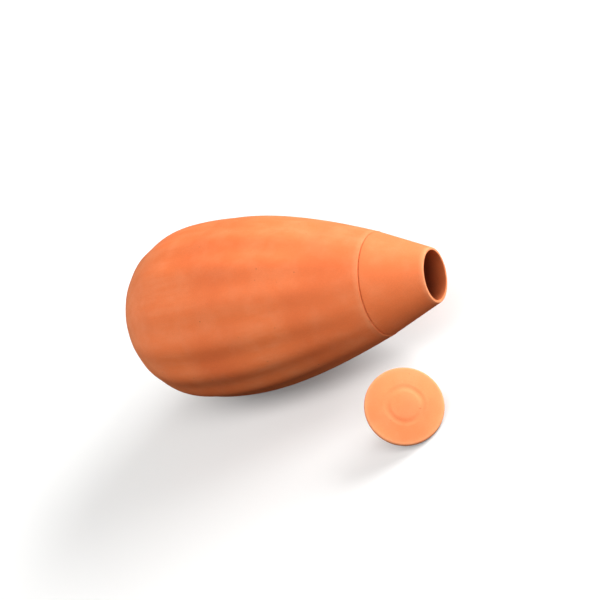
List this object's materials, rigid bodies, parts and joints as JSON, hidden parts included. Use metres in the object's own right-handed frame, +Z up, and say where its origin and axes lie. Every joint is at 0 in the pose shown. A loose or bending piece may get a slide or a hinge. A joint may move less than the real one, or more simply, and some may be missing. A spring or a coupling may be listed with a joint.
{
  "type": "terracotta olla",
  "caption": "Lobed egg-shaped clay watering vessel with a plain cone neck and open mouth, lying on its side, and its loose round lid with a tapered plug.",
  "frame": {"origin": "on the floor, in the middle of the ground that the vessel and its lid take up", "axes": "+X along the vessel as it lies, from its foot to its mouth, +Z up, -Y to the side where the lid lies"},
  "size_m": [0.3056, 0.2154, 0.1637],
  "materials": {
    "vessel_clay": "matt unglazed terracotta, smooth, with faint lengthwise lobes",
    "lid_clay": "matt unglazed terracotta, a little lighter, with a rounded edge"
  },
  "bodies": {
    "vessel": {"belly": "vessel_clay", "neck": "vessel_clay"},
    "lid": {"lid": "lid_clay"}
  },
  "joints": [
    {"name": "lid_lift", "type": "slide", "parent": "vessel", "child": "lid", "axis": [0, 0, 1], "range_m": [0, 0.18]}
  ]
}
